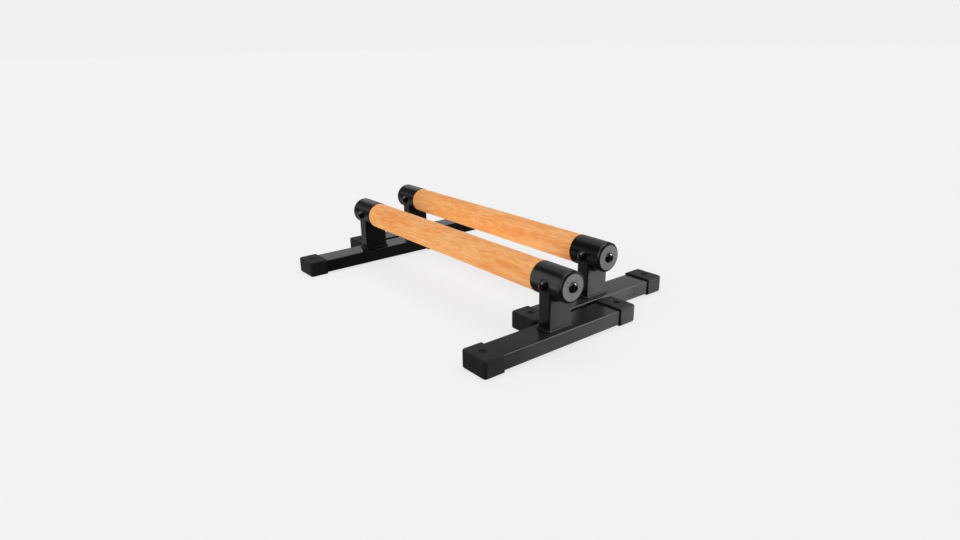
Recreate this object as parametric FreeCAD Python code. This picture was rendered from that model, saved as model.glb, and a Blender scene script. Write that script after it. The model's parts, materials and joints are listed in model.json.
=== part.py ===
"""A pair of low parallettes: turned wooden grips carried by welded steel feet that stand on rubber ends.

Millimetres. +X runs along the grips towards the front, +Y along the feet towards the left bar, +Z up.
The origin is on the floor, midway between the two bars.
"""

import FreeCAD
import Part

import math
import os

Vector = FreeCAD.Vector
ORIGIN = Vector(0, 0, 0)
X_AXIS = Vector(1, 0, 0)
Y_AXIS = Vector(0, 1, 0)
Z_AXIS = Vector(0, 0, 1)

# How the two bars stand beside each other
BAR_SPACING = 117.0  # between the two grip axes
FEET_GAP = 3.0  # between a foot of one bar and the foot of the other that passes it

# Each bar
GRIP_AXIS_HEIGHT = 81.5
FOOT_SPACING = 442.0  # between the middles of the front and the rear foot
FOOT_LENGTH = 258.0  # over the rubber feet

# Wooden grip
GRIP_DIAMETER = 40.0
GRIP_EDGE = 0.8  # chamfer where the grip meets a sleeve
TENON_CHAMFER = 1.5
TENON_FIT = 0.1  # radial, in the sleeve
TENON_END_GAP = 1.0  # between the tenon and the end cap's spigot

# Sleeve over each end of the grip
SLEEVE_DIAMETER = 41.0
SLEEVE_WALL = 2.0
SLEEVE_LENGTH = 49.0
SLEEVE_EDGE = 0.6

# End cap that closes the sleeve
END_CAP_LAND = 0.2  # straight part of its rim, next to the sleeve
END_CAP_RIM_RADIUS = 3.9
SPIGOT_LENGTH = 4.0
SPIGOT_FIT = 0.1  # radial, in the sleeve

# Button head bolt along the grip's axis
BOLT_DIAMETER = 8.0
BOLT_LENGTH = 40.0
BOLT_TIP_CHAMFER = 0.8
BOLT_HEAD_DIAMETER = 14.0
BOLT_HEAD_HEIGHT = 4.4
BOLT_HEAD_FLAT = 7.6  # diameter of the flat round the socket
SOCKET_WIDTH = 5.0  # across the flats
SOCKET_DEPTH = 2.8
BOLT_FIT = 0.25  # radial, in the end cap and in the wood
BOLT_TIP_ROOM = 4.0  # drilled past the bolt's tip

# Round-ended cross pin that the bolt screws into
PIN_DIAMETER = 14.0
PIN_FIT = 0.1  # radial, in the sleeve and in the wood
PIN_THREAD_FIT = 0.05  # radial, round the bolt
PIN_ROUND_INSET = 0.5  # its round ends start this far inside the sleeve's surface

# Post
POST_WIDTH = 38.0  # along the foot
POST_DEPTH = 20.0
POST_WALL = 2.0
POST_CORNER = 2.0
POST_PIN_ROOM = 0.6  # the most that its sides may rise is this far under the cross pin

# Beam along the floor
BEAM_WIDTH = 40.0
BEAM_HEIGHT = 20.0
BEAM_WALL = 2.0
BEAM_CORNER = 2.0

# Rubber foot on each end of a beam
RUBBER_LENGTH = 29.0
RUBBER_WALL = 2.0
RUBBER_SOLE = 1.9
RUBBER_END = 3.0
RUBBER_FIT = 0.1
RUBBER_UPRIGHT_RADIUS = 5.0
RUBBER_SOLE_RADIUS = 3.0
RUBBER_TOP_RADIUS = 2.5
DIMPLE_DIAMETER = 10.0
DIMPLE_DEPTH = 1.3

# Weld beads
BASE_WELD_LEG = 3.2
SLEEVE_WELD_LEG = 2.6  # on the post's front and back
SIDE_WELD_HEIGHT = 0.4  # out from the post's sides, where the sleeve runs nearly level with them
WELD_CROWN = 0.5  # how far a bead bulges past a flat one

# Worked out from the sizes above
GRIP_RADIUS = GRIP_DIAMETER / 2
SLEEVE_RADIUS = SLEEVE_DIAMETER / 2
SLEEVE_BORE_RADIUS = SLEEVE_RADIUS - SLEEVE_WALL
SLEEVE_END = SLEEVE_LENGTH / 2
END_CAP_THICKNESS = END_CAP_LAND + END_CAP_RIM_RADIUS
END_CAP_FACE = SLEEVE_END + END_CAP_THICKNESS
BOLT_RADIUS = BOLT_DIAMETER / 2
BOLT_TIP = END_CAP_FACE - BOLT_LENGTH
PIN_RADIUS = PIN_DIAMETER / 2
PIN_STRAIGHT = SLEEVE_RADIUS - PIN_ROUND_INSET  # from its middle
PIN_TIP = PIN_STRAIGHT + PIN_RADIUS
BEAM_BOTTOM = RUBBER_SOLE + RUBBER_FIT
BEAM_TOP = BEAM_BOTTOM + BEAM_HEIGHT
POST_HEIGHT = GRIP_AXIS_HEIGHT - PIN_RADIUS - POST_PIN_ROOM - BEAM_TOP  # before it is coped
BEAM_LENGTH = FOOT_LENGTH - 2 * (RUBBER_END + RUBBER_FIT)
RUBBER_WIDTH = BEAM_WIDTH + 2 * (RUBBER_FIT + RUBBER_WALL)
RUBBER_HEIGHT = BEAM_TOP + RUBBER_FIT + RUBBER_WALL
BAR_STAGGER = RUBBER_WIDTH + FEET_GAP
GRIP_AXIS = Vector(0, 0, GRIP_AXIS_HEIGHT)


def rounded_rectangle(width, depth, corner, z):
    """A closed wire, width along X and depth along Y, centred on the Z axis."""
    x = width / 2
    y = depth / 2
    cut = corner * (1 - math.sqrt(0.5))
    edges = []
    for turn, (a, b) in enumerate([(x, y), (y, x), (x, y), (y, x)]):
        side = Part.LineSegment(Vector(a, -b + corner, z), Vector(a, b - corner, z)).toShape()
        round_corner = Part.Arc(
            Vector(a, b - corner, z), Vector(a - cut, b - cut, z), Vector(a - corner, b, z)
        ).toShape()
        for edge in (side, round_corner):
            edge.rotate(ORIGIN, Z_AXIS, 90 * turn)
            edges.append(edge)
    return Part.Wire(edges)


def rounded_bar(width, depth, corner, length):
    """A solid bar along Z with a rounded rectangular section, standing on z = 0."""
    return Part.Face(rounded_rectangle(width, depth, corner, 0)).extrude(Z_AXIS * length)


def rectangular_tube(width, depth, corner, wall, length):
    """A hollow bar along Z, standing on z = 0."""
    outside = rounded_bar(width, depth, corner, length)
    bore_corner = max(corner - wall, wall / 4)
    return outside.cut(rounded_bar(width - 2 * wall, depth - 2 * wall, bore_corner, length))


def turned(edges, axis):
    """The solid that a closed outline in the plane of an axis sweeps round it."""
    return Part.Face(Part.Wire(edges)).revolve(ORIGIN, axis, 360)


def is_at(a, b):
    """Whether two lengths are the same, apart from rounding errors."""
    return math.isclose(a, b, abs_tol=1e-4)


def polyline(points):
    """Straight edges from each point to the next."""
    return [Part.LineSegment(a, b).toShape() for a, b in zip(points, points[1:])]


def pin_hole(middle):
    """What is drilled across the sleeve and the grip for a cross pin."""
    return Part.makeCylinder(PIN_RADIUS + PIN_FIT, 2 * PIN_TIP, middle - Y_AXIS * PIN_TIP, Y_AXIS)


def half_grip():
    """The front half of the grip about the grip's axis, from the bar's middle."""
    post = FOOT_SPACING / 2
    shoulder = post - SLEEVE_END
    tip = post + SLEEVE_END - SPIGOT_LENGTH - TENON_END_GAP
    tenon_radius = SLEEVE_BORE_RADIUS - TENON_FIT
    outline = [
        Vector(0, 0, 0),
        Vector(0, 0, GRIP_RADIUS),
        Vector(shoulder - GRIP_EDGE, 0, GRIP_RADIUS),
        Vector(shoulder, 0, GRIP_RADIUS - GRIP_EDGE),
        Vector(shoulder, 0, tenon_radius),
        Vector(tip - TENON_CHAMFER, 0, tenon_radius),
        Vector(tip, 0, tenon_radius - TENON_CHAMFER),
        Vector(tip, 0, 0),
        Vector(0, 0, 0),
    ]
    half = turned(polyline(outline), X_AXIS)
    bottom = post + BOLT_TIP - BOLT_TIP_ROOM
    bolt_hole = Part.makeCylinder(BOLT_RADIUS + BOLT_FIT, tip - bottom, Vector(bottom, 0, 0), X_AXIS)
    return half.cut(bolt_hole).cut(pin_hole(X_AXIS * post))


def grip():
    """The wooden bar with both tenons, about the bar's middle on the floor."""
    front = half_grip()
    rear = front.copy()
    rear.rotate(ORIGIN, Z_AXIS, 180)
    whole = front.fuse(rear).removeSplitter()
    whole.translate(GRIP_AXIS)
    return whole


def sleeve():
    """The tube over one end of the grip, with the holes for the cross pin."""
    outline = [
        Vector(-SLEEVE_END, 0, SLEEVE_BORE_RADIUS),
        Vector(-SLEEVE_END, 0, SLEEVE_RADIUS - SLEEVE_EDGE),
        Vector(-SLEEVE_END + SLEEVE_EDGE, 0, SLEEVE_RADIUS),
        Vector(SLEEVE_END, 0, SLEEVE_RADIUS),
        Vector(SLEEVE_END, 0, SLEEVE_BORE_RADIUS),
        Vector(-SLEEVE_END, 0, SLEEVE_BORE_RADIUS),
    ]
    tube = turned(polyline(outline), X_AXIS)
    tube.translate(GRIP_AXIS)
    return tube.cut(pin_hole(GRIP_AXIS))


def end_cap():
    """The disc that closes the sleeve, with a rounded rim and a spigot in the bore."""
    hole = BOLT_RADIUS + BOLT_FIT
    spigot = SLEEVE_BORE_RADIUS - SPIGOT_FIT
    rim_start = Vector(SLEEVE_END + END_CAP_LAND, 0, SLEEVE_RADIUS)
    rim_end = Vector(END_CAP_FACE, 0, SLEEVE_RADIUS - END_CAP_RIM_RADIUS)
    rim_centre = Vector(rim_start.x, 0, rim_end.z)
    rim_middle = rim_centre + Vector(1, 0, 1).normalize() * END_CAP_RIM_RADIUS
    back = [
        Vector(END_CAP_FACE, 0, hole),
        Vector(SLEEVE_END - SPIGOT_LENGTH, 0, hole),
        Vector(SLEEVE_END - SPIGOT_LENGTH, 0, spigot),
        Vector(SLEEVE_END, 0, spigot),
        Vector(SLEEVE_END, 0, SLEEVE_RADIUS),
        rim_start,
    ]
    rim = Part.Arc(rim_start, rim_middle, rim_end).toShape()
    face = Part.LineSegment(rim_end, back[0]).toShape()
    cap = turned(polyline(back) + [rim, face], X_AXIS)
    cap.translate(GRIP_AXIS)
    return cap


def end_bolt():
    """The button head bolt, its head on the end cap and its shank through the cross pin."""
    head_radius = BOLT_HEAD_DIAMETER / 2
    flat_radius = BOLT_HEAD_FLAT / 2
    top = END_CAP_FACE + BOLT_HEAD_HEIGHT
    # The dome is part of a sphere whose middle lies on the axis.
    reach = (head_radius**2 - flat_radius**2 - BOLT_HEAD_HEIGHT**2) / (2 * BOLT_HEAD_HEIGHT)
    sphere = math.hypot(reach, head_radius)
    angle = (math.atan2(head_radius, reach) + math.atan2(flat_radius, reach + BOLT_HEAD_HEIGHT)) / 2
    dome_middle = Vector(END_CAP_FACE - reach + sphere * math.cos(angle), 0, sphere * math.sin(angle))
    seat_rim = Vector(END_CAP_FACE, 0, head_radius)
    flat_rim = Vector(top, 0, flat_radius)
    shank = [
        flat_rim,
        Vector(top, 0, 0),
        Vector(BOLT_TIP, 0, 0),
        Vector(BOLT_TIP, 0, BOLT_RADIUS - BOLT_TIP_CHAMFER),
        Vector(BOLT_TIP + BOLT_TIP_CHAMFER, 0, BOLT_RADIUS),
        Vector(END_CAP_FACE, 0, BOLT_RADIUS),
        seat_rim,
    ]
    dome = Part.Arc(seat_rim, dome_middle, flat_rim).toShape()
    bolt = turned(polyline(shank) + [dome], X_AXIS)
    corner = SOCKET_WIDTH / math.sqrt(3)
    angles = [math.radians(60 * i) for i in range(7)]
    hexagon = [Vector(top - SOCKET_DEPTH, corner * math.sin(a), corner * math.cos(a)) for a in angles]
    socket = Part.Face(Part.makePolygon(hexagon)).extrude(X_AXIS * SOCKET_DEPTH)
    bolt = bolt.cut(socket)
    bolt.translate(GRIP_AXIS)
    return bolt


def cross_pin():
    """The round-ended pin across the sleeve, with the bolt's hole through its middle."""
    shoulder = PIN_RADIUS * math.sqrt(0.5)
    near_round = Part.Arc(
        Vector(0, -PIN_TIP, 0),
        Vector(shoulder, -PIN_STRAIGHT - shoulder, 0),
        Vector(PIN_RADIUS, -PIN_STRAIGHT, 0),
    ).toShape()
    side = Part.LineSegment(
        Vector(PIN_RADIUS, -PIN_STRAIGHT, 0), Vector(PIN_RADIUS, PIN_STRAIGHT, 0)
    ).toShape()
    far_round = Part.Arc(
        Vector(PIN_RADIUS, PIN_STRAIGHT, 0),
        Vector(shoulder, PIN_STRAIGHT + shoulder, 0),
        Vector(0, PIN_TIP, 0),
    ).toShape()
    axis = Part.LineSegment(Vector(0, PIN_TIP, 0), Vector(0, -PIN_TIP, 0)).toShape()
    pin = turned([near_round, side, far_round, axis], Y_AXIS)
    thread = Part.makeCylinder(
        BOLT_RADIUS + PIN_THREAD_FIT, PIN_DIAMETER, Vector(-PIN_RADIUS, 0, 0), X_AXIS
    )
    pin = pin.cut(thread)
    pin.translate(GRIP_AXIS)
    return pin


def post():
    """The upright tube on the beam, its top coped to the sleeve."""
    tube = rectangular_tube(POST_DEPTH, POST_WIDTH, POST_CORNER, POST_WALL, POST_HEIGHT)
    tube.translate(Z_AXIS * BEAM_TOP)
    return tube.cut(sleeve_bar())


def sleeve_bar():
    """A solid bar in the sleeve's place."""
    return Part.makeCylinder(SLEEVE_RADIUS, SLEEVE_LENGTH, GRIP_AXIS - X_AXIS * SLEEVE_END, X_AXIS)


def foot_beam():
    """The tube along the floor."""
    tube = rectangular_tube(BEAM_WIDTH, BEAM_HEIGHT, BEAM_CORNER, BEAM_WALL, BEAM_LENGTH)
    tube.rotate(ORIGIN, X_AXIS, 90)
    tube.translate(Vector(0, BEAM_LENGTH / 2, BEAM_BOTTOM + BEAM_HEIGHT / 2))
    return tube


def rubber_foot():
    """The rubber cap on the beam's end at -Y, with an open pocket for the beam and a dimple on top."""
    end = -FOOT_LENGTH / 2
    lip = end + RUBBER_LENGTH
    block = Part.makeBox(RUBBER_WIDTH, RUBBER_LENGTH, RUBBER_HEIGHT, Vector(-RUBBER_WIDTH / 2, end, 0))
    uprights = [e for e in block.Edges if is_at(e.CenterOfMass.y, end) and is_at(e.BoundBox.XLength, 0)]
    block = block.makeFillet(RUBBER_UPRIGHT_RADIUS, uprights)
    block = block.makeFillet(RUBBER_SOLE_RADIUS, rim_edges(block, 0, lip))
    block = block.makeFillet(RUBBER_TOP_RADIUS, rim_edges(block, RUBBER_HEIGHT, lip))
    pocket = rounded_bar(
        BEAM_WIDTH + 2 * RUBBER_FIT, BEAM_HEIGHT + 2 * RUBBER_FIT, BEAM_CORNER + RUBBER_FIT, RUBBER_LENGTH
    )
    pocket.rotate(ORIGIN, X_AXIS, 90)
    pocket.translate(Vector(0, end + RUBBER_END + RUBBER_LENGTH, BEAM_BOTTOM + BEAM_HEIGHT / 2))
    dimple = Part.makeCylinder(
        DIMPLE_DIAMETER / 2, DIMPLE_DEPTH, Vector(0, (end + lip) / 2, RUBBER_HEIGHT - DIMPLE_DEPTH), Z_AXIS
    )
    return block.cut(pocket).cut(dimple)


def rim_edges(block, z, lip):
    """The edges of a block that lie flat at a height, apart from the one at the rubber foot's lip."""
    flat = [e for e in block.Edges if is_at(e.BoundBox.ZMin, z) and is_at(e.BoundBox.ZMax, z)]
    return [e for e in flat if not is_at(e.CenterOfMass.y, lip)]


def base_weld():
    """The bead round the post's foot, on the beam."""
    bulge = BASE_WELD_LEG / 2 + WELD_CROWN
    sections = []
    for out, up in ((BASE_WELD_LEG, 0), (bulge, bulge), (0, BASE_WELD_LEG)):
        sections.append(
            rounded_rectangle(POST_DEPTH + 2 * out, POST_WIDTH + 2 * out, POST_CORNER + out, BEAM_TOP + up)
        )
    bead = Part.makeLoft(sections, True, True)
    core = rounded_bar(POST_DEPTH, POST_WIDTH, POST_CORNER, BASE_WELD_LEG)
    core.translate(Z_AXIS * BEAM_TOP)
    return bead.cut(core)


def sleeve_weld():
    """The bead round the post's top: full under the sleeve at front and back, thin along the sides."""
    face = POST_DEPTH / 2
    toe = face + SLEEVE_WELD_LEG
    bulge = SLEEVE_WELD_LEG / 2 + WELD_CROWN
    thin = SLEEVE_RADIUS + SIDE_WELD_HEIGHT
    full = SLEEVE_RADIUS + SLEEVE_WELD_LEG
    front_crown = Part.Arc(
        Vector(face, 0, full), Vector(face + bulge, 0, SLEEVE_RADIUS + bulge), Vector(toe, 0, SLEEVE_RADIUS)
    ).toShape()
    rear_crown = front_crown.mirror(ORIGIN, X_AXIS)
    top = polyline(
        [Vector(-face, 0, full), Vector(-face, 0, thin), Vector(face, 0, thin), Vector(face, 0, full)]
    )
    inside = polyline(
        [
            Vector(toe, 0, SLEEVE_RADIUS),
            Vector(toe, 0, SLEEVE_BORE_RADIUS),
            Vector(-toe, 0, SLEEVE_BORE_RADIUS),
            Vector(-toe, 0, SLEEVE_RADIUS),
        ]
    )
    ring = turned(top + [front_crown] + inside + [rear_crown], X_AXIS)
    ring.translate(GRIP_AXIS)
    reach = rounded_bar(
        2 * toe,
        POST_WIDTH + 2 * SIDE_WELD_HEIGHT,
        POST_CORNER + SIDE_WELD_HEIGHT,
        POST_HEIGHT + SIDE_WELD_HEIGHT,
    )
    stem = rounded_bar(POST_DEPTH, POST_WIDTH, POST_CORNER, POST_HEIGHT)
    for bar in (reach, stem):
        bar.translate(Z_AXIS * BEAM_TOP)
    return ring.common(reach).cut(stem).cut(sleeve_bar())


def build():
    """Every node of both bars, by name."""
    nodes = {}
    station = {
        "sleeve": sleeve(),
        "post": post(),
        "foot_beam": foot_beam(),
        "end_cap": end_cap(),
        "base_weld": base_weld(),
        "sleeve_weld": sleeve_weld(),
    }
    fasteners = {"end_bolts": end_bolt(), "cross_pins": cross_pin()}
    foot = rubber_foot()
    bar = grip()
    for side, out in (("right", -1), ("left", 1)):
        middle = Vector(-out * BAR_STAGGER / 2, out * BAR_SPACING / 2, 0)
        nodes[side + "_grip"] = placed(bar, middle, 0)
        to_post = X_AXIS * (FOOT_SPACING / 2)
        ends = [("front", middle + to_post, 0), ("rear", middle - to_post, 180)]
        for end, place, turn in ends:
            for name, shape in station.items():
                nodes[f"{side}_{end}_{name}"] = placed(shape, place, turn)
            nodes[f"{side}_{end}_outer_rubber_foot"] = placed(foot, place, 0 if out < 0 else 180)
            nodes[f"{side}_{end}_inner_rubber_foot"] = placed(foot, place, 180 if out < 0 else 0)
        for name, shape in fasteners.items():
            pair = [placed(shape, place, turn) for end, place, turn in ends]
            nodes[f"{side}_{name}"] = Part.makeCompound(pair)
    return nodes


def placed(shape, place, turn):
    """A copy of a shape, turned about Z and then moved."""
    copy = shape.copy()
    copy.rotate(ORIGIN, Z_AXIS, turn)
    copy.translate(place)
    return copy


os.makedirs("parts", exist_ok=True)
for node, solid in build().items():
    solid.exportStep(f"parts/{node}.step")
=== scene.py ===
import json
import math

import bpy
from mathutils import Matrix, Vector


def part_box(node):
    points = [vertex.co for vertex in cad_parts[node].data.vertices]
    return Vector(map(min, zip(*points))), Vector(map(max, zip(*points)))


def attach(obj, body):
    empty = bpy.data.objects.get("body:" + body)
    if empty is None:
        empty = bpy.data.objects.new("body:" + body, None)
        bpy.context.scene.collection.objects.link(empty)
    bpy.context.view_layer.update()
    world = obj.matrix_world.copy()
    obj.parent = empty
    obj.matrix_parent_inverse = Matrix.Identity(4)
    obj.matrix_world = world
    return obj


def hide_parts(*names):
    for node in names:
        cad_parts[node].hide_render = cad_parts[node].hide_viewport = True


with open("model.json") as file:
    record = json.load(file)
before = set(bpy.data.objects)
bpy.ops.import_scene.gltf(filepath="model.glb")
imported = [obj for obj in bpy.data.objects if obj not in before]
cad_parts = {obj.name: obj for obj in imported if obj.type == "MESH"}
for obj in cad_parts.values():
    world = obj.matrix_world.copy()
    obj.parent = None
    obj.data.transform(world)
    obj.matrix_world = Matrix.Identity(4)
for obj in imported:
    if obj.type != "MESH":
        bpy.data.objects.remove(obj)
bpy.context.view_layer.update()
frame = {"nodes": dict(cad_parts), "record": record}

MM = 0.001

SIDES = ("right", "left")
ENDS = ("front", "rear")

# Camera, in the photograph's place
IMAGE_WIDTH = 960
FOCAL_PIXELS = 660.6
SENSOR_WIDTH = 36.0
CAMERA_PLACE = Vector((774.85, -593.23, 359.98)) * MM
CAMERA_AZIMUTH = math.radians(51.726)
CAMERA_ELEVATION = math.radians(19.364)
CAMERA_ROLL = math.radians(-0.781)

# Studio, with a dark screen on the camera's side
STUDIO_LEVEL = 0.88
SCREEN_LEVEL = 0.03
SCREEN_DIRECTION = (0.74, -0.67, 0.0)
SCREEN_FADE = (0.08, 0.45)  # cosines of the angles from it at which the screen begins and is full
# The studio's gain at each height of a direction, from -1 straight down to 1 straight up
STUDIO_BANDS = (
    (-0.55, 0.15),
    (-0.43, 1.0),
    (-0.20, 1.0),
    (-0.08, 0.2),
    (0.12, 0.2),
    (0.26, 1.5),
    (0.34, 1.6),
    (0.38, 0.42),
    (0.44, 0.42),
    (0.53, 0.12),
    (0.76, 0.12),
    (0.86, 3.3),
)

# Suns: the direction that each shines from, the angle it fills in degrees, and its power
SUNS = {
    "fill": ((0.35, -0.88, 0.32), 60, 2.05),
    "left": ((-0.70, -0.70, 0.16), 60, 2.6),
    "edge": ((0.34, 0.63, 0.70), 25, 3.0),
    "crown": ((-0.65, 0.33, 0.68), 40, 0.4),
    "ridge": ((0.64, 0.75, 0.07), 30, 1.4),
    "front_glint": ((-0.15, -0.68, 0.74), 50, 5.0),
    "back_glint": ((0.20, 0.78, 0.59), 25, 8.0),
    "right_grip_fill": ((0.30, -0.95, -0.15), 60, 1.5),
    "left_grip_fill": ((0.30, -0.95, -0.15), 60, 1.75),
}

# Softbox, low at the camera's right
SOFTBOX_PLACE = (0.66, 0.52, 0.10)
SOFTBOX_AIM = (0.24, 0.06, 0.04)
SOFTBOX_SIZE = 0.25
SOFTBOX_SPREAD = math.radians(36)
SOFTBOX_POWER = 7.9

# Stage
STAGE_REACH = 20.0
STAGE_ROUGHNESS = 0.9
FLOOR_ALBEDO = 0.15
FLOOR_GLOW = 0.72  # it keeps the shadows faint
BACKDROP_HEIGHT = 14.0
BACKDROP_GLOW = 0.878

# Colours, in linear red, green and blue
WOOD_DEEP = (0.88, 0.345, 0.087)
WOOD_MIDDLE = (0.93, 0.455, 0.149)
WOOD_PALE = (0.96, 0.535, 0.208)
WOOD_RING = (0.74, 0.21, 0.045)
WOOD_FIBRE = (0.76, 0.24, 0.055)
WOOD_DARK_FLECK = (0.80, 0.27, 0.066)
WOOD_LIGHT_FLECK = (0.95, 0.56, 0.25)
WOOD_PORE = (0.45, 0.13, 0.03)
COAT_DARK = (0.0030, 0.0030, 0.0030)
COAT_LIGHT = (0.0048, 0.0048, 0.0049)
COAT_SPOT = (0.009, 0.009, 0.0094)
# Painted light on the end caps' flat ends: greys that stand for the light they catch
CAP_PAINTED_LIT_DARK = (0.155, 0.155, 0.157)
CAP_PAINTED_LIT_PALE = (0.325, 0.325, 0.330)
CAP_RIM = (0.006, 0.006, 0.0065)
OXIDE_DARK = (0.002, 0.002, 0.0022)
OXIDE_LIGHT = (0.004, 0.004, 0.0045)
RUBBER_DARK = (0.0022, 0.0022, 0.0022)
RUBBER_LIGHT = (0.0046, 0.0046, 0.0048)

# Weld beads
POST_CORNER = 2.0 * MM
BASE_BEAD_LEG = 3.2 * MM
SLEEVE_BEAD_LEG = 2.6 * MM  # on the post's front and back
SIDE_BEAD_LEG = 0.45 * MM  # on the post's sides, clear of the cross pin
SIDE_FULLNESS = 0.3  # of the crown and ripples that is left on the post's sides
BEAD_CROWN = 0.45 * MM
BEAD_SINK = 0.08 * MM  # how far its toes go into the steel
ROOT_SINK = 4 * BEAD_SINK
BEAD_STEP = 0.3 * MM
BEAD_SECTION = 8  # points across it
RIPPLE_PITCH = 2.4 * MM
RIPPLE_HEIGHT = 0.32 * MM
RIPPLE_DEPTH = 0.6  # of a ripple's height that lies below the crown
RIPPLE_SWEEP = 0.45  # of a pitch that a ripple's ends trail behind its middle

# Sockets of the colour mixing node
MIX_FACTOR = 0
MIX_A = 6
MIX_B = 7
MIX_RESULT = 2


def even(value):
    """A value three times over, for a grey, or for grains of one size every way."""
    return (value,) * 3


def opaque(colour):
    """A colour with full alpha."""
    return (*colour, 1.0)


class Nodes:
    """A node tree, built node by node."""

    def __init__(self, tree):
        self.tree = tree

    def feed(self, socket, value):
        """Links a socket to another node's output, or sets its value."""
        if isinstance(value, bpy.types.NodeSocket):
            self.tree.links.new(value, socket)
        else:
            socket.default_value = value

    def add(self, kind, inputs, **settings):
        """A new node with its settings and inputs."""
        node = self.tree.nodes.new(kind)
        for name, value in settings.items():
            setattr(node, name, value)
        for socket, value in inputs.items():
            self.feed(node.inputs[socket], value)
        return node

    def ramp(self, factor, stops):
        """A colour for each value of a factor, from places and colours."""
        node = self.add("ShaderNodeValToRGB", {"Fac": factor})
        elements = node.color_ramp.elements
        while len(elements) < len(stops):
            elements.new(1.0)
        for element, (place, colour) in zip(elements, stops):
            element.position = place
            element.color = opaque(colour)
        return node.outputs["Color"]


class Paint(Nodes):
    """A procedural material on the piece's own coordinates, in metres."""

    def __init__(self, name, ior):
        self.material = bpy.data.materials.new(name)
        self.material.use_nodes = True
        super().__init__(self.material.node_tree)
        self.surface = self.tree.nodes["Principled BSDF"]
        self.feed(self.surface.inputs["IOR"], ior)
        piece = self.add("ShaderNodeTexCoord", {})
        self.place = piece.outputs["Object"]
        self.normal = piece.outputs["Normal"]

    def stretched(self, size):
        """The piece's coordinates, measured in grains of this size along X, Y and Z."""
        scale = [1 / length for length in size]
        inputs = {"Vector": self.place, "Scale": scale}
        return self.add("ShaderNodeMapping", inputs).outputs["Vector"]

    def noise(self, size, detail, roughness=0.5):
        """Soft noise from 0 to 1 with grains of this size along X, Y and Z."""
        inputs = {
            "Vector": self.stretched(size),
            "Scale": 1.0,
            "Detail": detail,
            "Roughness": roughness,
        }
        return self.add("ShaderNodeTexNoise", inputs).outputs["Fac"]

    def mix(self, factor, first, second):
        """Two colours mixed by a factor."""
        inputs = {MIX_FACTOR: factor, MIX_A: first, MIX_B: second}
        return self.add("ShaderNodeMix", inputs, data_type="RGBA").outputs[MIX_RESULT]

    def spread(self, factor, low, high):
        """A factor from 0 to 1 spread over another range."""
        inputs = {"Value": factor, "To Min": low, "To Max": high}
        return self.add("ShaderNodeMapRange", inputs).outputs["Result"]

    def sum(self, first, second, weight):
        """The first value plus a share of the second."""
        inputs = {0: second, 1: weight, 2: first}
        return self.add("ShaderNodeMath", inputs, operation="MULTIPLY_ADD").outputs[0]

    def bump(self, height, depth):
        """Raises the surface by a height from 0 to 1, times a depth in metres."""
        inputs = {"Height": height, "Strength": 1.0, "Distance": depth}
        self.feed(self.surface.inputs["Normal"], self.add("ShaderNodeBump", inputs).outputs["Normal"])

    def finish(self, colour, roughness):
        """Connects the colour and the roughness, and gives the finished material."""
        self.feed(self.surface.inputs["Base Color"], colour)
        self.feed(self.surface.inputs["Roughness"], roughness)
        return self.material


def wood():
    """Oiled wood, grained along the bar: growth rings, long fibres, flecks, pores and warm patches."""
    paint = Paint("oiled_wood", ior=1.32)
    # The rings' heart runs beside the bar at a slight slant, so that they meet its side in long tongues.
    heart = paint.add(
        "ShaderNodeMapping",
        {"Vector": paint.place, "Location": (0.0, 0.03, 0.05), "Rotation": (0.0, 0.035, 0.05)},
    ).outputs["Vector"]
    flat = paint.add("ShaderNodeMapping", {"Vector": heart, "Scale": (0.10, 1.0, 1.0)}).outputs["Vector"]
    rings = paint.add(
        "ShaderNodeTexWave",
        {"Vector": flat, "Scale": 55.0, "Distortion": 3.5, "Detail": 3.0, "Detail Scale": 0.9},
        wave_type="RINGS",
        rings_direction="X",
    ).outputs["Fac"]
    fibres = paint.noise((0.030, 0.0009, 0.0009), detail=3.0, roughness=0.6)
    flecks = paint.noise((0.017, 0.0021, 0.0021), detail=2.0, roughness=0.6)
    pores = paint.noise((0.0045, 0.00042, 0.00042), detail=1.0)
    patches = paint.noise((0.060, 0.016, 0.016), detail=3.0, roughness=0.55)
    body = paint.ramp(patches, [(0.35, WOOD_DEEP), (0.50, WOOD_MIDDLE), (0.64, WOOD_PALE)])
    ringed = paint.mix(paint.spread(rings, low=0.0, high=0.20), body, opaque(WOOD_RING))
    streaks = paint.ramp(fibres, [(0.35, even(0.60)), (0.60, even(0.0))])
    streaked = paint.mix(streaks, ringed, opaque(WOOD_FIBRE))
    dark = paint.ramp(flecks, [(0.34, even(0.5)), (0.50, even(0.0))])
    darkened = paint.mix(dark, streaked, opaque(WOOD_DARK_FLECK))
    light = paint.ramp(flecks, [(0.52, even(0.0)), (0.68, even(0.5))])
    flecked = paint.mix(light, darkened, opaque(WOOD_LIGHT_FLECK))
    dots = paint.ramp(pores, [(0.24, even(0.4)), (0.33, even(0.0))])
    dotted = paint.mix(dots, flecked, opaque(WOOD_PORE))
    paint.bump(paint.sum(fibres, pores, weight=0.5), depth=0.00005)
    return paint.finish(dotted, paint.spread(fibres, low=0.58, high=0.44))


def powder_coat():
    """Satin black powder coat: fine orange peel, faint clouds and rubbed spots."""
    paint = Paint("black_powder_coat", ior=1.21)
    peel = paint.noise(even(0.0011), detail=2.0)
    clouds = paint.noise(even(0.035), detail=3.0, roughness=0.6)
    specks = paint.noise(even(0.00035), detail=1.0)
    colour = paint.ramp(clouds, [(0.3, COAT_DARK), (0.7, COAT_LIGHT)])
    spots = paint.ramp(specks, [(0.66, even(0.0)), (0.78, even(0.5))])
    speckled = paint.mix(spots, colour, opaque(COAT_SPOT))
    paint.bump(paint.sum(peel, specks, weight=0.25), depth=0.00002)
    return paint.finish(speckled, paint.spread(clouds, low=0.19, high=0.25))


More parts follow.
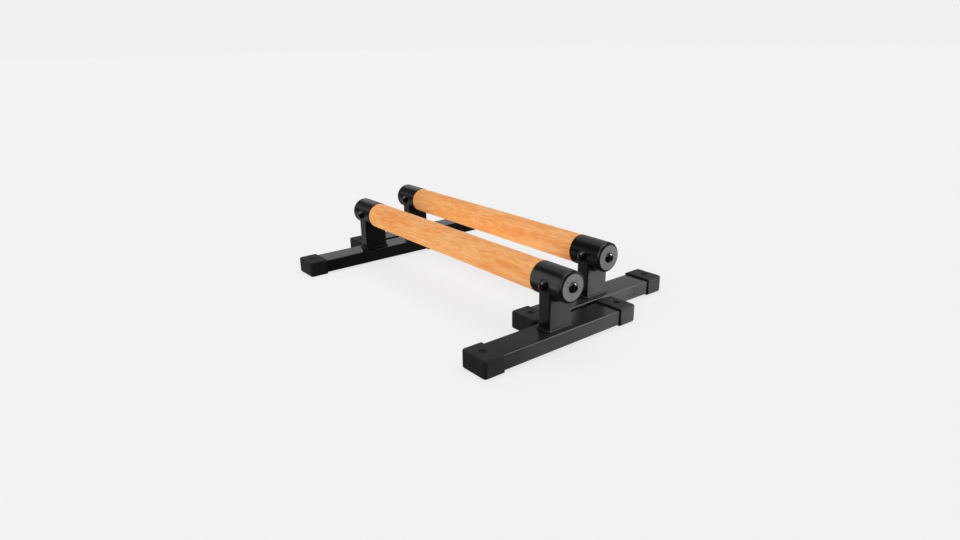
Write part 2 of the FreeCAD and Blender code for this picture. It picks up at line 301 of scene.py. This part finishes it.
def cap_coat():
    """End caps: glossy black with a fine leathery grain; their flat ends are painted grey, as painted
    light standing for the light they catch.
    """
    paint = Paint("end_cap_coat", ior=1.36)
    cells = paint.add(
        "ShaderNodeTexVoronoi",
        {"Vector": paint.stretched(even(0.0009)), "Scale": 1.0, "Randomness": 1.0},
    ).outputs["Distance"]
    mottle = paint.noise(even(0.0016), detail=3.0, roughness=0.7)
    # Painted light: the mottled grey that the flat ends are painted with
    grey = paint.ramp(mottle, [(0.3, CAP_PAINTED_LIT_DARK), (0.7, CAP_PAINTED_LIT_PALE)])
    # Painted light: the flat end that looks along the bar is painted grey as if lit, and the rim that
    # turns away from it keeps the cap's black.
    facing = paint.add("ShaderNodeSeparateXYZ", {"Vector": paint.normal}).outputs["X"]
    squared = paint.add("ShaderNodeMath", {0: facing, 1: 2.0}, operation="POWER").outputs[0]
    painted_lit_end = paint.ramp(squared, [(0.975, even(0.0)), (0.995, even(1.0))])
    colour = paint.mix(painted_lit_end, opaque(CAP_RIM), grey)
    paint.bump(cells, depth=0.00004)
    return paint.finish(colour, paint.spread(painted_lit_end, low=0.26, high=0.52))


def black_oxide():
    """Glossy blackened steel of the bolts and pins, with faint turning marks and oil."""
    paint = Paint("black_oxide", ior=1.25)
    oil = paint.noise(even(0.006), detail=3.0, roughness=0.6)
    marks = paint.noise((0.0005, 0.00012, 0.00012), detail=1.0)
    colour = paint.ramp(oil, [(0.3, OXIDE_DARK), (0.7, OXIDE_LIGHT)])
    paint.bump(marks, depth=0.000006)
    return paint.finish(colour, paint.spread(oil, low=0.14, high=0.24))


def rubber():
    """Matte moulded rubber with a fine grain and paler rubbed patches."""
    paint = Paint("foot_rubber", ior=1.34)
    grain = paint.noise(even(0.0006), detail=2.0)
    rubbed = paint.noise(even(0.018), detail=4.0, roughness=0.65)
    colour = paint.ramp(rubbed, [(0.3, RUBBER_DARK), (0.72, RUBBER_LIGHT)])
    paint.bump(grain, depth=0.00006)
    return paint.finish(colour, paint.spread(rubbed, low=0.74, high=0.60))


def dress(materials):
    """Gives each CAD node the material of its slot."""
    for row in frame["record"]["subparts"]:
        node = frame["nodes"][row["node"]]
        node.data.materials.clear()
        node.data.materials.append(materials[row["material_slot"]])


def slot_nodes(*slots):
    """The CAD nodes of some slots."""
    rows = frame["record"]["subparts"]
    return [frame["nodes"][row["node"]] for row in rows if row["material_slot"] in slots]


def spaced(length):
    """Places along a length, about a bead's step apart, without its end."""
    count = max(round(length / BEAD_STEP), 2)
    return [length * i / count for i in range(count)]


def perimeter(half_x, half_y, corner):
    """Points round a rectangle with round corners, about a bead's step apart, each with its normal."""
    points = []
    for turn in range(4):
        out, along = (half_x, half_y) if turn % 2 == 0 else (half_y, half_x)
        turned = Matrix.Rotation(math.radians(90 * turn), 2)
        for place in spaced(2 * (along - corner)):
            point = Vector((out, corner - along + place))
            points.append((turned @ point, turned @ Vector((1.0, 0.0))))
        middle = Vector((out - corner, along - corner))
        for place in spaced(corner * math.pi / 2):
            normal = Vector((math.cos(place / corner), math.sin(place / corner)))
            points.append((turned @ (middle + corner * normal), turned @ normal))
    return points


def bead_section(root, lower, upper, phase, fullness):
    """Points across a bead from one toe to the other, with its root last, in the corner it fills."""
    outward = ((lower + upper) / 2 - root).normalized()
    points = []
    for i in range(BEAD_SECTION):
        across = i / (BEAD_SECTION - 1)
        arch = 4 * across * (1 - across)
        trail = RIPPLE_SWEEP * (2 * across - 1) ** 2
        ripple = abs(math.sin(math.pi * (phase - trail)))
        height = BEAD_CROWN + RIPPLE_HEIGHT * (ripple - RIPPLE_DEPTH)
        rise = arch * height * fullness - BEAD_SINK
        points.append(lower.lerp(upper, across) + outward * rise)
    points.append(root - outward * ROOT_SINK)
    return points


def bead(name, sections):
    """A closed mesh through a ring of sections."""
    size = BEAD_SECTION + 1
    count = len(sections)
    faces = []
    for i in range(count):
        here = i * size
        there = (i + 1) % count * size
        for j in range(size):
            k = (j + 1) % size
            faces.append((here + j, there + j, there + k, here + k))
    mesh = bpy.data.meshes.new(name)
    mesh.from_pydata([point for section in sections for point in section], [], faces)
    mesh.polygons.foreach_set("use_smooth", [True] * len(faces))
    piece = bpy.data.objects.new(name, mesh)
    bpy.context.scene.collection.objects.link(piece)
    return piece


def ripples(count):
    """The ripple's phase at each of a number of points round a post."""
    turns = round(count * BEAD_STEP / RIPPLE_PITCH)
    return [turns * i / count for i in range(count)]


def base_bead(station):
    """The bead round a post's foot, on the beam."""
    low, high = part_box(station + "_post")
    middle = (low + high) / 2
    half = (high - low) / 2
    up = Vector((0.0, 0.0, BASE_BEAD_LEG))
    path = perimeter(half.x, half.y, POST_CORNER)
    sections = []
    for (spot, normal), phase in zip(path, ripples(len(path))):
        root = Vector((middle.x + spot.x, middle.y + spot.y, low.z))
        out = Vector((normal.x, normal.y, 0.0)) * BASE_BEAD_LEG
        sections.append(bead_section(root, root + out, root + up, phase, 1.0))
    return bead(station + "_base_bead", sections)


def sleeve_bead(station):
    """The bead round a post's top, in the corner under the sleeve."""
    low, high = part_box(station + "_post")
    middle = (low + high) / 2
    half = (high - low) / 2
    sleeve_low, sleeve_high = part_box(station + "_sleeve")
    axis = (sleeve_low.z + sleeve_high.z) / 2
    radius = (sleeve_high.z - sleeve_low.z) / 2

    def under(across, size):
        """The height of a round's underside, this far across from its axis."""
        return axis - math.sqrt(size**2 - across**2)

    path = perimeter(half.x, half.y, POST_CORNER)
    sections = []
    for (spot, normal), phase in zip(path, ripples(len(path))):
        fullness = normal.x**2
        leg = SIDE_BEAD_LEG + (SLEEVE_BEAD_LEG - SIDE_BEAD_LEG) * fullness
        rim = spot + normal * leg
        root = Vector((middle.x + spot.x, middle.y + spot.y, under(spot.y, radius)))
        lower = Vector((root.x, root.y, under(spot.y, radius + leg)))
        upper = Vector((middle.x + rim.x, middle.y + rim.y, under(rim.y, radius)))
        sections.append(bead_section(root, lower, upper, phase, max(fullness, SIDE_FULLNESS)))
    return bead(station + "_sleeve_bead", sections)


def add_beads(material):
    """Rippled beads in place of the plain ones."""
    beads = []
    for side in SIDES:
        for end in ENDS:
            station = f"{side}_{end}"
            for make, node in ((base_bead, "base_weld"), (sleeve_bead, "sleeve_weld")):
                piece = make(station)
                piece.data.materials.append(material)
                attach(piece, side + "_bar")
                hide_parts(f"{station}_{node}")
                beads.append(piece)
    return beads


def stage_paint(name, albedo, glow):
    """A matte grey material with a glow of its own."""
    material = bpy.data.materials.new(name)
    material.use_nodes = True
    inputs = material.node_tree.nodes["Principled BSDF"].inputs
    inputs["Base Color"].default_value = opaque(even(albedo))
    inputs["Roughness"].default_value = STAGE_ROUGHNESS
    inputs["Specular IOR Level"].default_value = 0.0
    inputs["Emission Color"].default_value = opaque(even(1.0))
    inputs["Emission Strength"].default_value = glow
    return material


def stage_ring(height):
    """The corners of the stage at a height."""
    corners = ((-1, -1), (1, -1), (1, 1), (-1, 1))
    return [(x * STAGE_REACH, y * STAGE_REACH, height) for x, y in corners]


def add_stage(name, corners, faces, albedo, glow):
    """A piece of the stage."""
    mesh = bpy.data.meshes.new(name)
    mesh.from_pydata(corners, [], faces)
    mesh.materials.append(stage_paint("pale_" + name, albedo, glow))
    piece = bpy.data.objects.new(name, mesh)
    bpy.context.scene.collection.objects.link(piece)
    return piece


def add_backdrop():
    """Pale walls round the floor, which only the camera sees."""
    corners = stage_ring(0.0) + stage_ring(BACKDROP_HEIGHT)
    faces = [(i, (i + 1) % 4, (i + 1) % 4 + 4, i + 4) for i in range(4)]
    walls = add_stage("backdrop", corners, faces, 0.0, BACKDROP_GLOW)
    walls.visible_diffuse = False
    walls.visible_glossy = False
    walls.visible_shadow = False


def add_floor():
    """A wide pale floor."""
    floor = add_stage("floor", stage_ring(0.0), [(0, 1, 2, 3)], FLOOR_ALBEDO, FLOOR_GLOW)
    floor.visible_glossy = False  # the steel reflects the studio's lower bands instead
    return floor


def add_studio():
    """A pale studio in bands by height, with a dark screen on the camera's side."""
    world = bpy.data.worlds.new("studio")
    bpy.context.scene.world = world
    world.use_nodes = True
    nodes = Nodes(world.node_tree)
    background = nodes.tree.nodes["Background"]
    direction = nodes.add("ShaderNodeTexCoord", {}).outputs["Generated"]
    to_screen = nodes.add(
        "ShaderNodeVectorMath", {0: direction, 1: SCREEN_DIRECTION}, operation="DOT_PRODUCT"
    ).outputs["Value"]
    begin, full = SCREEN_FADE
    shade = nodes.ramp(to_screen, [(begin, even(STUDIO_LEVEL)), (full, even(SCREEN_LEVEL))])
    nodes.feed(background.inputs["Color"], shade)
    height = nodes.add("ShaderNodeSeparateXYZ", {"Vector": direction}).outputs["Z"]
    level = nodes.add("ShaderNodeMapRange", {"Value": height, "From Min": -1.0}).outputs["Result"]
    bands = nodes.ramp(level, [((place + 1) / 2, even(gain)) for place, gain in STUDIO_BANDS])
    nodes.feed(background.inputs["Strength"], bands)


def group(name, pieces):
    """A collection of pieces for a lamp."""
    collection = bpy.data.collections.new(name)
    for piece in pieces:
        collection.objects.link(piece)
    return collection


def add_lamp(kind, name, place, aim, power, pieces):
    """A lamp at a place, turned to where it aims, that lights only some pieces."""
    light = bpy.data.lights.new(name, kind)
    light.energy = power
    lamp = bpy.data.objects.new(name, light)
    lamp.location = place
    lamp.rotation_euler = (Vector(aim) - Vector(place)).to_track_quat("-Z", "Y").to_euler()
    bpy.context.scene.collection.objects.link(lamp)
    lamp.light_linking.receiver_collection = group("lit_by_" + name, pieces)
    return lamp


def add_sun(name, pieces):
    """One of the suns, for some pieces."""
    direction, angle, power = SUNS[name]
    sun = add_lamp("SUN", name, direction, (0.0, 0.0, 0.0), power, pieces)
    sun.data.angle = math.radians(angle)
    return sun


def add_softbox(pieces):
    """The softbox, for some pieces."""
    box = add_lamp("AREA", "side", SOFTBOX_PLACE, SOFTBOX_AIM, SOFTBOX_POWER, pieces)
    box.data.size = SOFTBOX_SIZE
    box.data.spread = SOFTBOX_SPREAD
    box.visible_glossy = False


def at_front(pieces):
    """Those of some pieces that stand at the front."""
    return [piece for piece in pieces if "_front_" in piece.name]


def add_light(floor, beads):
    """The studio and its lamps, each for the pieces that show its light in the photograph."""
    nodes = frame["nodes"]
    fasteners = slot_nodes("black_fasteners")
    sleeves = [nodes[f"{side}_{end}_sleeve"] for side in SIDES for end in ENDS]
    frames = [node for node in slot_nodes("coated_steel") if node not in sleeves]
    add_studio()
    add_sun("fill", [floor] + beads + slot_nodes("coated_steel", "end_cap", "foot_rubber"))
    add_softbox(at_front(frames + slot_nodes("foot_rubber")))
    add_sun("left", [nodes["right_front_sleeve"]])
    add_sun("edge", at_front(frames + beads))
    add_sun("crown", sleeves)
    add_sun("ridge", at_front(beads))
    add_sun("front_glint", fasteners)
    add_sun("back_glint", fasteners)
    for side in SIDES:
        grip_fill = add_sun(side + "_grip_fill", [nodes[side + "_grip"]])
        # The other grip casts no shadow of it.
        grip_fill.light_linking.blocker_collection = group(side + "_grip_shades", frames + sleeves)
        # With multiple importance sampling, the light on a grip changes from run to run.
        grip_fill.data.cycles.use_multiple_importance_sampling = False


def add_camera():
    """The photograph's view."""
    lens = bpy.data.cameras.new("camera")
    lens.sensor_fit = "HORIZONTAL"
    lens.sensor_width = SENSOR_WIDTH
    lens.lens = FOCAL_PIXELS / IMAGE_WIDTH * SENSOR_WIDTH
    camera = bpy.data.objects.new("camera", lens)
    camera.matrix_world = (
        Matrix.Translation(CAMERA_PLACE)
        @ Matrix.Rotation(CAMERA_AZIMUTH, 4, "Z")
        @ Matrix.Rotation(math.pi / 2 - CAMERA_ELEVATION, 4, "X")
        @ Matrix.Rotation(CAMERA_ROLL, 4, "Z")
    )
    bpy.context.scene.collection.objects.link(camera)
    bpy.context.scene.camera = camera


steel = powder_coat()
dress(
    {
        "grip_wood": wood(),
        "coated_steel": steel,
        "end_cap": cap_coat(),
        "black_fasteners": black_oxide(),
        "foot_rubber": rubber(),
    }
)
for grip in slot_nodes("grip_wood"):
    grip.visible_glossy = False  # the steel in the photograph shows no wood
add_backdrop()
add_light(add_floor(), add_beads(steel))
add_camera()
bpy.context.scene.view_settings.view_transform = "Standard"
